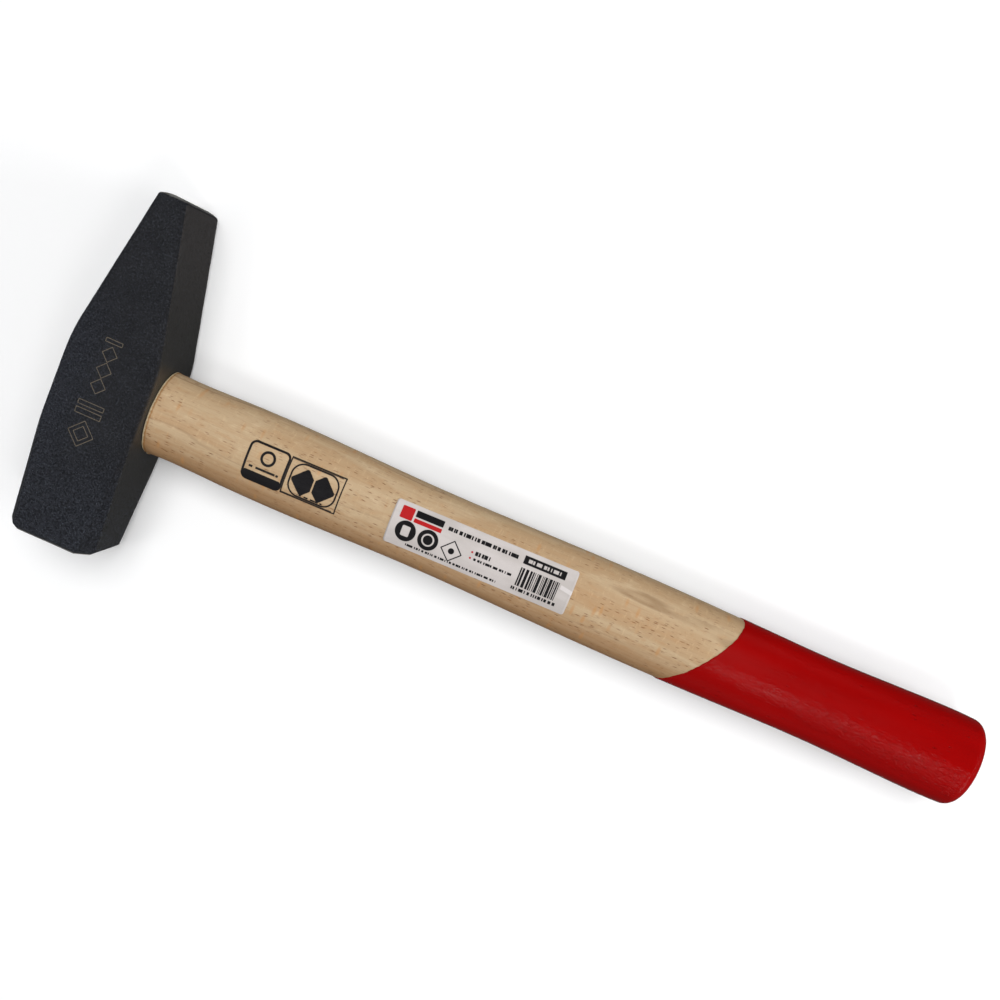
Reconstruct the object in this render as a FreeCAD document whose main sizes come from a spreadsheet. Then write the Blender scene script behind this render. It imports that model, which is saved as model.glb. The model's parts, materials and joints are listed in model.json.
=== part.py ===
import FreeCAD, Part
import math
import os
import re

import Sketcher

# Engineer's cross peen hammer, 800 g: a forged steel head, a beech handle held in the eye by a wooden
# wedge and a steel wedge, a dip coat of lacquer on the grip, and a paper label.
#
# The hammer lies on one cheek of its head. X runs along the handle from the head to the butt, Y along
# the head from the striking face to the peen, and Z up through the upper cheek. The origin is on the
# lower cheek, under the point where the axes of the head and of the handle cross. Every body is drawn
# about those two axes and lifted by half the thickness of the head in its Placement.

Vector = FreeCAD.Vector
SHEET = "dims"

# Driving dimensions in millimetres and degrees: alias, value, meaning.
DIMENSIONS = [
    ("head_thickness", 33.0, "head, cheek to cheek"),
    ("face_width", 33.0, "striking face, side to side"),
    ("block_width", 34.0, "head across the eye block, along the handle"),
    ("face_reach", 57.0, "handle axis to the striking face"),
    ("peen_reach", 73.0, "handle axis to the tip of the peen"),
    ("peen_width", 10.7, "peen where its tip begins"),
    ("peen_crown", 14.0, "radius of the crowned tip of the peen"),
    ("peen_round", 1.3, "rounded corners of the tip of the peen"),
    ("block_low", 12.0, "handle axis to the end of the eye block towards the face"),
    ("block_high", 16.0, "handle axis to the start of the peen's taper"),
    ("shoulder_radius", 60.0, "soft bend between the eye block and the peen"),
    ("edge_radius", 2.0, "rounded long edges of the head"),
    ("facet_start", 14.0, "handle axis to where the corner facets begin"),
    ("facet_start_leg", 1.2, "corner facet where it begins, either way"),
    ("facet_side", 4.4, "corner facet at the face, along the handle"),
    ("facet_cheek", 7.0, "corner facet at the face, down the side"),
    ("face_chamfer", 2.0, "ground edge of the striking face"),
    ("mouth_length", 28.0, "eye at both mouths, along the head"),
    ("mouth_width", 19.0, "eye at both mouths, across the head"),
    ("mouth_chamfer", 0.7, "broken edge of the eye's outer mouth"),
    ("waist_length", 26.0, "eye at its waist, along the head"),
    ("waist_width", 17.0, "eye at its waist, across the head"),
    ("tenon_proud", 0.8, "end of the tenon past the eye's outer mouth"),
    ("overall_length", 350.0, "outer side of the head to the butt"),
    ("shoulder_height", 31.5, "handle at the head, along the head"),
    ("shoulder_depth", 24.6, "handle at the head, across the head"),
    ("shoulder_chamfer", 0.7, "broken edge of the handle at the head"),
    ("neck_at", 42.0, "head's axis to the neck"),
    ("neck_height", 31.6, "neck, along the head"),
    ("neck_depth", 24.6, "neck, across the head"),
    ("swell_at", 67.0, "head's axis to the first swell"),
    ("swell_height", 32.3, "first swell, along the head"),
    ("swell_depth", 24.8, "first swell, across the head"),
    ("slim_at", 120.0, "head's axis to the slim middle"),
    ("slim_height", 30.4, "slim middle, along the head"),
    ("slim_depth", 23.4, "slim middle, across the head"),
    ("rise_at", 160.0, "head's axis to the start of the palm swell"),
    ("rise_height", 31.3, "start of the palm swell, along the head"),
    ("rise_depth", 23.9, "start of the palm swell, across the head"),
    ("palm_at", 200.0, "head's axis to the palm swell"),
    ("palm_height", 32.3, "palm swell, along the head"),
    ("palm_depth", 24.6, "palm swell, across the head"),
    ("heel_at", 240.0, "head's axis to the end of the palm swell"),
    ("heel_height", 31.6, "end of the palm swell, along the head"),
    ("heel_depth", 24.2, "end of the palm swell, across the head"),
    ("grip_at", 275.0, "head's axis to the slim grip"),
    ("grip_height", 30.5, "slim grip, along the head"),
    ("grip_depth", 23.8, "slim grip, across the head"),
    ("knob_at", 316.0, "head's axis to the swell before the butt"),
    ("knob_height", 32.6, "swell before the butt, along the head"),
    ("knob_depth", 26.0, "swell before the butt, across the head"),
    ("butt_height", 32.2, "butt before it is rounded, along the head"),
    ("butt_depth", 25.8, "butt before it is rounded, across the head"),
    ("butt_round", 4.2, "rounded edge of the butt"),
    ("wedge_depth", 27.0, "wooden wedge, along the handle"),
    ("wedge_thick", 4.4, "wooden wedge at its outer end"),
    ("wedge_thin", 1.2, "wooden wedge at its tip"),
    ("steel_depth", 22.0, "steel wedge, along the handle"),
    ("steel_width", 13.0, "steel wedge, across the wooden wedge"),
    ("steel_thick", 3.2, "steel wedge at its outer end"),
    ("steel_thin", 1.0, "steel wedge at its tip"),
    ("barb_step", 0.3, "height of each barb of the steel wedge"),
    ("lacquer_thickness", 0.25, "dip coat on the grip"),
    ("dip_reach", 228.7, "head's axis to the dip line"),
    ("dip_yaw", 33.1, "slant of the dip line across the handle"),
    ("dip_pitch", 11.9, "slant of the dip line through the handle"),
    ("label_thickness", 0.12, "paper and glue"),
    ("label_at", 144.2, "head's axis to the label's centre"),
    ("label_side", 0.5, "handle's axis to the label's centre, towards the peen"),
    ("label_length", 68.6, "label, along the handle"),
    ("label_width", 16.1, "label, across the handle in plan"),
    ("label_turn", 1.2, "label's small turn from the handle's axis"),
]

# Ovals of the handle from its shoulder to the swell before its butt:
# station, height along Y, depth along Z.
HANDLE_OVALS = [
    ("block_width / 2", "shoulder_height", "shoulder_depth"),
    ("neck_at", "neck_height", "neck_depth"),
    ("swell_at", "swell_height", "swell_depth"),
    ("slim_at", "slim_height", "slim_depth"),
    ("rise_at", "rise_height", "rise_depth"),
    ("palm_at", "palm_height", "palm_depth"),
    ("heel_at", "heel_height", "heel_depth"),
    ("grip_at", "grip_height", "grip_depth"),
    ("knob_at", "knob_height", "knob_depth"),
]

OUTER_SIDE = "block_width / 2 + tenon_proud"
BARBS = 3
BUTT_STEPS = 5

# The sketcher's own numbers: points of an edge, and the axes with their crossing.
START, END, CENTRE = 1, 2, 3
X_AXIS, Y_AXIS = -1, -2
ORIGIN = (-1, 1)

doc = FreeCAD.newDocument("cross_peen_hammer")
sheet = doc.addObject("Spreadsheet::Sheet", SHEET)
for row, (alias, value, meaning) in enumerate(DIMENSIONS, start=1):
    sheet.set(f"A{row}", meaning)
    sheet.set(f"B{row}", str(value))
    sheet.setAlias(f"B{row}", alias)
doc.recompute()


def from_sheet(expression):
    """The expression with each name in it read from the sheet."""
    return re.sub(r"[a-z_]+", rf"{SHEET}.\g<0>", expression)


def size(expression):
    """What the expression comes to."""
    return float(sheet.evalExpression(from_sheet(expression)))


def bind(feature, path, expression):
    feature.setExpression(path, from_sheet(expression))


def new_body(name):
    """A body whose own X and Y axes are the axes of the handle and of the head."""
    body = doc.addObject("PartDesign::Body", name)
    bind(body, "Placement.Base.z", "head_thickness / 2")
    return body


# Sketches


def sketch_on(body, name, role, offset="0"):
    """An empty sketch on one of the body's own origin planes, moved along the plane's normal."""
    sketch = body.newObject("Sketcher::SketchObject", name)
    plane = next(feature for feature in body.Origin.OriginFeatures if feature.Role == role)
    sketch.AttachmentSupport = (plane, [""])
    sketch.MapMode = "FlatFace"
    sketch.Visibility = False
    bind(sketch, "AttachmentOffset.Base.z", offset)
    return sketch


def relate(sketch, kind, *references):
    sketch.addConstraint(Sketcher.Constraint(kind, *references))


def measure(sketch, kind, references, expression):
    """A dimension of the sketch, bound to the sheet."""
    index = sketch.addConstraint(Sketcher.Constraint(kind, *references, size(expression)))
    sketch.renameConstraint(index, f"size_{index}")
    bind(sketch, f"Constraints.size_{index}", expression)


def pin(sketch, kind, point, expression):
    """The point's distance from the sketch's origin, which is kept positive in the sketch."""
    if size(expression) < 0:
        measure(sketch, kind, point + ORIGIN, f"-({expression})")
    else:
        measure(sketch, kind, ORIGIN + point, expression)


def lines_through(sketch, points):
    """Straight lines from point to point, joined end to end."""
    first = sketch.GeometryCount
    for start, end in zip(points, points[1:]):
        sketch.addGeometry(Part.LineSegment(start, end), False)
    for line in range(first, sketch.GeometryCount - 1):
        relate(sketch, "Coincident", line, END, line + 1, START)


def pinned_outline(sketch, places):
    """A closed outline of straight lines whose corners are places given as two expressions."""
    corners = [Vector(size(across), size(up), 0) for across, up in places]
    lines_through(sketch, corners + corners[:1])
    relate(sketch, "Coincident", len(places) - 1, END, 0, START)
    for line, (across, up) in enumerate(places):
        pin(sketch, "DistanceX", (line, START), across)
        pin(sketch, "DistanceY", (line, START), up)


def oval_sketch(body, name, station, height, depth):
    """An ellipse across the handle, its long axis along Y."""
    sketch = sketch_on(body, name, "YZ_Plane", station)
    ends = Vector(size(height) / 2, 0, 0), Vector(0, size(depth) / 2, 0)
    sketch.addGeometry(Part.Ellipse(*ends, Vector(0, 0, 0)), False)
    sketch.exposeInternalGeometry(0)
    long_axis, short_axis = 1, 2
    relate(sketch, "Coincident", 0, CENTRE, *ORIGIN)
    relate(sketch, "Horizontal", long_axis)
    measure(sketch, "Distance", (long_axis,), height)
    measure(sketch, "Distance", (short_axis,), depth)
    return sketch


def slot_sketch(body, name, station, length, width):
    """A slot with round ends across the handle, its long axis along Y."""
    sketch = sketch_on(body, name, "YZ_Plane", station)
    radius = size(width) / 2
    reach = size(length) / 2 - radius
    quarter = math.pi / 2
    for side, first_angle in ((1, -quarter), (-1, quarter)):
        middle, rise = Vector(side * reach, 0, 0), Vector(0, side * radius, 0)
        end = Part.Circle(middle, Vector(0, 0, 1), radius)
        sketch.addGeometry(Part.ArcOfCircle(end, first_angle, first_angle + math.pi), False)
        sketch.addGeometry(Part.LineSegment(middle + rise, rise - middle), False)
    right_end, upper_side, left_end, lower_side = range(4)
    outline = [right_end, upper_side, left_end, lower_side, right_end]
    for edge, next_edge in zip(outline, outline[1:]):
        relate(sketch, "Tangent", edge, END, next_edge, START)
    relate(sketch, "Equal", right_end, left_end)
    relate(sketch, "Symmetric", right_end, CENTRE, left_end, CENTRE, *ORIGIN)
    relate(sketch, "PointOnObject", right_end, CENTRE, X_AXIS)
    measure(sketch, "Radius", (right_end,), f"({width}) / 2")
    measure(sketch, "DistanceX", (left_end, CENTRE, right_end, CENTRE), f"{length} - ({width})")
    return sketch


# Features


def loft(body, name, kind, sketches, ruled):
    feature = body.newObject(f"PartDesign::{kind}", name)
    feature.Profile = sketches[0]
    feature.Sections = sketches[1:]
    feature.Ruled = ruled
    doc.recompute()
    return feature


def pad(body, name, sketch, length, both_ways=True):
    """The sketch thickened, to both sides of its plane or only along its normal."""
    feature = body.newObject("PartDesign::Pad", name)
    feature.Profile = sketch
    feature.SideType = "Symmetric" if both_ways else "One side"
    bind(feature, "Length", length)
    doc.recompute()
    return feature


def dress(body, name, kind, path, expression, chosen):
    """A fillet or a chamfer of the body's tip on the edges whose middle is chosen."""
    base = body.Tip
    names = []
    for number, edge in enumerate(base.Shape.Edges, start=1):
        first, last = edge.ParameterRange
        if chosen(edge.valueAt((first + last) / 2)):
            names.append(f"Edge{number}")
    feature = body.newObject(f"PartDesign::{kind}", name)
    feature.Base = (base, names)
    bind(feature, path, expression)
    doc.recompute()
    return feature


def combine(kind, name, base, tool):
    feature = doc.addObject(f"Part::{kind}", name)
    feature.Base = base
    feature.Tool = tool
    doc.recompute()
    return feature


def same(one, other):
    return abs(one - other) < 1e-3


# Head


def head_profile(body):
    """The head seen from its cheek: striking face, eye block, and tapering peen with a round tip."""
    sketch = sketch_on(body, "head_profile", "XY_Plane")
    corners = [
        ("-block_width / 2", "block_high"),
        ("-block_width / 2", "-block_low"),
        ("-face_width / 2", "-face_reach"),
        ("face_width / 2", "-face_reach"),
        ("block_width / 2", "-block_low"),
        ("block_width / 2", "block_high"),
    ]
    radius, half_width = size("peen_crown"), size("peen_width / 2")
    middle = Vector(0, size("peen_reach") - radius, 0)
    half_sweep = math.asin(half_width / radius)
    right_end = middle + Vector(half_width, radius * math.cos(half_sweep), 0)
    left_end = Vector(-half_width, right_end.y, 0)
    points = [Vector(size(across), size(up), 0) for across, up in corners]
    lines_through(sketch, [left_end] + points + [right_end])
    left_taper, right_taper, tip = 0, len(corners), len(corners) + 1
    circle = Part.Circle(middle, Vector(0, 0, 1), radius)
    quarter = math.pi / 2
    sketch.addGeometry(Part.ArcOfCircle(circle, quarter - half_sweep, quarter + half_sweep), False)
    relate(sketch, "Coincident", right_taper, END, tip, START)
    relate(sketch, "Coincident", tip, END, left_taper, START)
    relate(sketch, "PointOnObject", tip, CENTRE, Y_AXIS)
    measure(sketch, "Radius", (tip,), "peen_crown")
    pin(sketch, "DistanceY", (tip, CENTRE), "peen_reach - peen_crown")
    pin(sketch, "DistanceX", (tip, START), "peen_width / 2")
    pin(sketch, "DistanceX", (tip, END), "-peen_width / 2")
    for line, (across, up) in enumerate(corners, start=1):
        pin(sketch, "DistanceX", (line, START), across)
        pin(sketch, "DistanceY", (line, START), up)
    return sketch


def corner_triangle(body, name, reach, half_width, legs, side, cheek):
    """A triangle at one long corner of the head, whose slant cuts the two legs given off it."""
    sketch = sketch_on(body, name, "XZ_Plane", reach)
    leg_side, leg_cheek = legs
    outside = f"{side} * ({half_width} + {leg_side} / 2)"
    inside = f"{side} * ({half_width} - 1.5 * {leg_side})"
    above = f"{cheek} * (head_thickness / 2 + {leg_cheek} / 2)"
    below = f"{cheek} * (head_thickness / 2 - 1.5 * {leg_cheek})"
    pinned_outline(sketch, [(inside, above), (outside, above), (outside, below)])
    return sketch


def cut_corner_facets(body):
    """The four long corners ground off towards the striking face, which becomes an octagon."""
    at_face = "face_reach", "face_width / 2", ("facet_side", "facet_cheek")
    taper = "(block_width - face_width) / 2 * (facet_start - block_low) / (face_reach - block_low)"
    at_start = "facet_start", f"block_width / 2 - {taper}", ("facet_start_leg", "facet_start_leg")
    corners = [(1, 1), (1, -1), (-1, 1), (-1, -1)]
    for number, (side, cheek) in enumerate(corners, start=1):
        ends = [
            corner_triangle(body, f"facet_{number}_{place}", *station, side, cheek)
            for place, station in (("face", at_face), ("start", at_start))
        ]
        loft(body, f"facet_{number}", "SubtractiveLoft", ends, ruled=True)


def inner_eye(body, name):
    """Slots of the eye's inner half: its mouth towards the handle, and its waist."""
    return [
        slot_sketch(body, f"{name}_mouth", "block_width / 2", "mouth_length", "mouth_width"),
        slot_sketch(body, f"{name}_waist", "0", "waist_length", "waist_width"),
    ]


def cut_eye(body):
    """The eye, tapered from both mouths to its waist, with the outer mouth's edge broken."""
    share = "(1 - 2 * mouth_chamfer / block_width)"
    rim_length = f"waist_length + (mouth_length - waist_length) * {share}"
    rim_width = f"waist_width + (mouth_width - waist_width) * {share}"
    slots = inner_eye(body, "eye") + [
        slot_sketch(body, "eye_rim", "mouth_chamfer - block_width / 2", rim_length, rim_width),
        slot_sketch(
            body, "eye_edge", "-block_width / 2",
            "mouth_length + 2 * mouth_chamfer", "mouth_width + 2 * mouth_chamfer"),
    ]
    loft(body, "eye", "SubtractiveLoft", slots, ruled=True)


def make_head():
    body = new_body("hammer_head")
    pad(body, "forging", head_profile(body), "head_thickness")
    half_block, high = size("block_width / 2"), size("block_high")
    half_thick, reach, half_tip = size("head_thickness / 2"), size("face_reach"), size("peen_width / 2")
    dress(
        body, "shoulder_bends", "Fillet", "Radius", "shoulder_radius",
        lambda middle: same(abs(middle.x), half_block) and same(middle.y, high))
    dress(
        body, "peen_corners", "Fillet", "Radius", "peen_round",
        lambda middle: same(abs(middle.x), half_tip) and same(middle.z, 0))
    dress(
        body, "long_edges", "Fillet", "Radius", "edge_radius",
        lambda middle: same(abs(middle.z), half_thick) and not same(middle.y, -reach))
    cut_corner_facets(body)
    dress(
        body, "face_edges", "Chamfer", "Size", "face_chamfer",
        lambda middle: same(middle.y, -reach))
    cut_eye(body)
    return body


# Handle and what is driven into it


def butt_ovals(skin):
    """Ovals of the rounded butt, from the full section to the flat end."""
    radius = f"(butt_round + {skin})"
    end = f"overall_length - block_width / 2 + {skin}"
    ovals = []
    for step in range(BUTT_STEPS + 1):
        angle = math.pi / 2 * step / BUTT_STEPS
        short, inset = round(1 - math.sin(angle), 6), round(1 - math.cos(angle), 6)
        ovals.append((
            f"{end} - {radius} * {short}",
            f"butt_height + 2 * {skin} - 2 * {radius} * {inset}",
            f"butt_depth + 2 * {skin} - 2 * {radius} * {inset}"))
    return ovals


def shaft_form(name, skin):
    """The handle from its shoulder to its rounded butt, grown all round by the skin."""
    body = new_body(name)
    along = [
        (station, f"{height} + 2 * {skin}", f"{depth} + 2 * {skin}")
        for station, height, depth in HANDLE_OVALS
    ]
    ovals = [
        oval_sketch(body, f"{name}_oval_{number}", *oval)
        for number, oval in enumerate(along + butt_ovals(skin), start=1)
    ]
    butt = len(along)
    loft(body, f"{name}_length", "AdditiveLoft", ovals[:butt + 1], ruled=False)
    loft(body, f"{name}_butt", "AdditiveLoft", ovals[butt:], ruled=False)
    return body


def make_shaft():
    body = shaft_form("shaft", "0")
    shoulder = size("block_width / 2")
    dress(
        body, "shaft_shoulder", "Chamfer", "Size", "shoulder_chamfer",
        lambda middle: same(middle.x, shoulder))
    return body


def make_tenon():
    """The end of the handle that fills the eye and stands a little proud of it."""
    body = new_body("tenon")
    slots = inner_eye(body, "tenon") + [
        slot_sketch(body, "tenon_outer", "-block_width / 2", "mouth_length", "mouth_width"),
        slot_sketch(body, "tenon_end", f"-({OUTER_SIDE})", "mouth_length", "mouth_width"),
    ]
    loft(body, "tenon_loft", "AdditiveLoft", slots, ruled=True)
    return body


def wedge_blank():
    """The tapered kerf along the eye's long axis, wider than the eye."""
    body = new_body("kerf")
    sketch = sketch_on(body, "kerf_profile", "XZ_Plane")
    outer, tip = f"-({OUTER_SIDE})", f"wedge_depth - ({OUTER_SIDE})"
    pinned_outline(
        sketch,
        [(outer, "-wedge_thick / 2"), (tip, "-wedge_thin / 2"),
         (tip, "wedge_thin / 2"), (outer, "wedge_thick / 2")])
    pad(body, "kerf_pad", sketch, "2 * mouth_length")
    return body


def make_steel_wedge():
    """A flat tapered wedge across the wooden one, with barbs that face outwards on both sides."""
    body = new_body("steel_wedge")
    sketch = sketch_on(body, "steel_profile", "XY_Plane")
    outer = f"-({OUTER_SIDE})"
    side = [(outer, "steel_thick / 2")]
    for barb in range(1, BARBS + 1):
        share = f"{barb} / {BARBS + 1}"
        station = f"steel_depth * {share} - ({OUTER_SIDE})"
        crest = f"steel_thick / 2 - (steel_thick - steel_thin) / 2 * {share}"
        side += [(station, f"{crest} - barb_step"), (station, crest)]
    side.append((f"steel_depth - ({OUTER_SIDE})", "steel_thin / 2"))
    other_side = [(along, f"-({across})") for along, across in reversed(side)]
    pinned_outline(sketch, side + other_side)
    pad(body, "steel_pad", sketch, "steel_width")
    return body


def make_handle(shaft, tenon, kerf, steel_wedge):
    whole = combine("Fuse", "handle_blank", shaft, tenon)
    kerfed = combine("Cut", "kerfed_handle", whole, kerf)
    return combine("Cut", "handle", kerfed, steel_wedge)


def make_wooden_wedge(tenon, kerf, steel_wedge):
    """The wedge fills the kerf and is trimmed to the eye, and the steel wedge splits its outer end."""
    trimmed = combine("Common", "trimmed_wedge", kerf, tenon)
    return combine("Cut", "wooden_wedge", trimmed, steel_wedge)


# What lies on the handle


def make_lacquer(shaft):
    """The dip coat: everything past the slanting line where the lacquer stood."""
    form = shaft_form("lacquer_form", "lacquer_thickness")
    dip = new_body("dip")
    sketch = sketch_on(dip, "dip_line", "YZ_Plane", "dip_reach")
    slant = FreeCAD.Rotation(Vector(0, 1, 0), -size("dip_yaw"))
    tilt = FreeCAD.Rotation(Vector(1, 0, 0), size("dip_pitch"))
    sketch.AttachmentOffset = FreeCAD.Placement(Vector(0, 0, size("dip_reach")), slant * tilt)
    across = "3 * knob_height"
    pinned_outline(
        sketch,
        [
            (f"-{across}", f"-{across}"),
            (across, f"-{across}"),
            (across, across),
            (f"-{across}", across),
        ])
    pad(dip, "dip_pad", sketch, "overall_length", both_ways=False)
    dipped = combine("Common", "dipped_form", form, dip)
    return combine("Cut", "grip_lacquer", dipped, shaft)


def make_label(shaft):
    """The paper that follows the oval of the handle on its upper side."""
    form = shaft_form("label_form", "label_thickness")
    stamp = new_body("label_stamp")
    sketch = sketch_on(stamp, "label_outline", "XY_Plane")
    turn = FreeCAD.Rotation(Vector(0, 0, 1), size("label_turn"))
    sketch.AttachmentOffset = FreeCAD.Placement(Vector(size("label_at"), size("label_side"), 0), turn)
    along, across = "label_length / 2", "label_width / 2"
    pinned_outline(
        sketch,
        [
            (f"-{along}", f"-{across}"),
            (along, f"-{across}"),
            (along, across),
            (f"-{along}", across),
        ])
    pad(stamp, "label_pad", sketch, "head_thickness", both_ways=False)
    stamped = combine("Common", "stamped_form", form, stamp)
    return combine("Cut", "product_label", stamped, shaft)


def build():
    """Every sub-part of the hammer, whose Label names its file."""
    head = make_head()
    shaft = make_shaft()
    tenon = make_tenon()
    kerf = wedge_blank()
    steel_wedge = make_steel_wedge()
    return [
        head,
        make_handle(shaft, tenon, kerf, steel_wedge),
        make_wooden_wedge(tenon, kerf, steel_wedge),
        steel_wedge,
        make_lacquer(shaft),
        make_label(shaft),
    ]


def check(sub_parts):
    """Stops on anything that failed to build, before a file is written."""
    for item in doc.Objects:
        broken = {"Invalid", "Error"} & set(item.State)
        if broken:
            raise RuntimeError(f"{item.Name} is {', '.join(sorted(broken))}")
    for sub_part in sub_parts:
        shape = sub_part.Shape
        if shape.isNull() or not shape.isValid() or len(shape.Solids) != 1:
            raise RuntimeError(f"{sub_part.Label} is not one valid solid")


def write(sub_parts):
    os.makedirs("parts", exist_ok=True)
    for sub_part in sub_parts:
        sub_part.Shape.exportStep(f"parts/{sub_part.Label}.step")
        box = sub_part.Shape.BoundBox
        print(
            f"{sub_part.Label}: {sub_part.Shape.Volume / 1000:.2f} cm3, "
            f"x {box.XMin:.1f}..{box.XMax:.1f}, y {box.YMin:.1f}..{box.YMax:.1f}, "
            f"z {box.ZMin:.1f}..{box.ZMax:.1f}")


sub_parts = build()
doc.recompute()
check(sub_parts)
write(sub_parts)
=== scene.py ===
"""Cross peen hammer with a beech handle and a dipped red grip.

The handle runs along +X from the head to the butt, the striking face looks to -Y, the peen to +Y,
and the hammer lies on one cheek, at z = 0. The hammer's sizes are given in millimetres and turned
into metres by MM. The camera and the lights are in metres.
"""
import json
import math

import bmesh
import bpy
from mathutils import Matrix, Vector, noise
from mathutils.bvhtree import BVHTree

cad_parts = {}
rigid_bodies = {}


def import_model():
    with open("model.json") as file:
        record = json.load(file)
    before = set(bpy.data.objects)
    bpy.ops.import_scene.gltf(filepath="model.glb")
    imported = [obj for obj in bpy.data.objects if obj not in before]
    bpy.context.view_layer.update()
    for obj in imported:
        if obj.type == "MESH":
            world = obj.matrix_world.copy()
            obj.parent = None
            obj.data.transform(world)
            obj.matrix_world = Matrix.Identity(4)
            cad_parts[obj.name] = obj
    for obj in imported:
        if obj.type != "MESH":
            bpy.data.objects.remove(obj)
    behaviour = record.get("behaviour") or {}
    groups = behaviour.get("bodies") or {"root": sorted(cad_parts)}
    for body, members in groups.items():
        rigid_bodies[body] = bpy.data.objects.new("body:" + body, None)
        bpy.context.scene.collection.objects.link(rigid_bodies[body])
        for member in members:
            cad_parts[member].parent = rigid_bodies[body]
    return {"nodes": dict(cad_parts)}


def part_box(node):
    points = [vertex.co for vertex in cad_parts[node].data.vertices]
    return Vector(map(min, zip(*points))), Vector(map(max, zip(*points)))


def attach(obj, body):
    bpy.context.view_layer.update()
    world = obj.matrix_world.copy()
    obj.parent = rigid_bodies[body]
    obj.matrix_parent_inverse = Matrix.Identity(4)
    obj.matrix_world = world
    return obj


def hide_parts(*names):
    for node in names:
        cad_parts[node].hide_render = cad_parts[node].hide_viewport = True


for old in list(bpy.data.objects):
    bpy.data.objects.remove(old)
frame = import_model()

MM = 0.001


def node_box(name):
    """The lowest and the highest corner of a CAD node, mm."""
    return [[round(part / MM, 3) for part in corner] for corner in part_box(name)]


HEAD_LOW, HEAD_HIGH = node_box("hammer_head")
HANDLE_LOW, HANDLE_HIGH = node_box("handle")
LABEL_LOW, LABEL_HIGH = node_box("product_label")

# The head, mm
UPPER_CHEEK_Z = HEAD_HIGH[2]
BARE_FACE_Y = HEAD_LOW[1] + 0.85         # the striking face is ground bare below this
BARE_PEEN_Y = HEAD_HIGH[1] - 1.1         # and the peen's edge above this

# The handle's skin, mm
AXIS_Z = (HANDLE_LOW[2] + HANDLE_HIGH[2]) / 2
SHOULDER_X = HEAD_HIGH[0]     # where the handle meets the head's flank
SHOULDER_CHAMFER = 0.7
TENON_CUT_X = SHOULDER_X - 0.1           # the tenon's mesh ends just inside the eye
TENON_END_X = HANDLE_LOW[0] + 0.3        # the end grain lies beyond this
TENON_SUNK = 0.22             # how far the end grain lies below the wedges' ends
EYE_HALF = (14.0, 9.5)        # half height and half depth of the ring that closes the shaft in it
BUTT_X = HANDLE_HIGH[0]
BUTT_ROUND = 4.2
BUTT_START = BUTT_X - BUTT_ROUND
BUTT_BULGE = 0.05             # how far the butt's middle stands out
SHAFT_STEP = 1.5              # between two rings of the shaft
FINE_STEP = 0.6               # between two rings close to the shoulder
FINE_REACH = 4.0              # how far from the shoulder the rings are close
AROUND = 128                  # points of a ring
ANGLES = [2 * math.pi * index / AROUND for index in range(AROUND)]
SHARP = math.radians(42)      # a steeper edge than this stays sharp in the shading

# The shoulder's torn rim and its burr, degrees and mm
TORN_REACH = 3.5
TORN_HEIGHT = 0.16
BURR_AT = 184.0
BURR_SPREAD = 9.0
BURR_LENGTH = 3.4
BURR_HEIGHT = 1.0

# Where the oval is measured on the CAD handle, mm
OVAL_START = SHOULDER_X + SHOULDER_CHAMFER + 0.1
OVAL_COUNT = round(BUTT_START - OVAL_START)     # one every millimetre
OVAL_SPREAD = 4               # each is averaged with this many on either side
FAR = 60.0                    # a ray starts this far from the centre line

# The dipped coat, mm. Its edge is the plane x = DIP_X + DIP_BY_Y * y + DIP_BY_Z * z, a little wavy
COAT = 0.25
INNER_COAT = 0.01             # the coat's inner wall lies just off the wood
DIP_X = 228.7
DIP_BY_Y = 0.653
DIP_BY_Z = 0.252
DIP_WAVE = 0.45
LIP_LENGTH = 2.4
LIP = ((0.0, -0.10), (0.0, 0.02), (0.06, 0.14), (0.2, 0.22), (0.5, 0.27), (1.2, 0.27),
       (LIP_LENGTH, COAT))    # distance from the edge and height over the wood
COAT_RINGS = 64               # between the lip and the butt's rounding

# The paper label, mm and degrees
LABEL_AT = tuple((LABEL_LOW[axis] + LABEL_HIGH[axis]) / 2 for axis in (0, 1))
LABEL_LENGTH = 68.6
LABEL_WIDTH = 16.1
LABEL_TURN = 1.2
LABEL_CORNER = 0.9
LABEL_THICK = 0.12
LABEL_SUNK = 0.04             # how deep its underside lies in the wood
LABEL_COLUMNS = 96
LABEL_LIFT = 0.10             # how far its two ends stand off the wood
LIFTED_PART = 0.03            # and over how much of its half length
LABEL_RIPPLE = 0.02

# The stamp on the wood, mm and degrees
STAMP_AT = (73.2, -0.3)
STAMP_TURN = 0.8
STAMP_START = 17.6            # from the stamp's left side to STAMP_AT

# The middle of the tree that the handle was cut from, mm
PITH_Y = -34.0
PITH_Z = -58.0

WELD = 0.001 * MM             # points nearer than this are one point

# The camera, metres and millimetres of lens
CAMERA_AT = (0.14748, 0.06444, 0.37470)
CAMERA_FORWARD = (-0.01426, -0.12272, -0.99234)
CAMERA_RIGHT = (0.91593, 0.39649, -0.06220)
CAMERA_LENS = 36.24
SENSOR = 36.0


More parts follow.
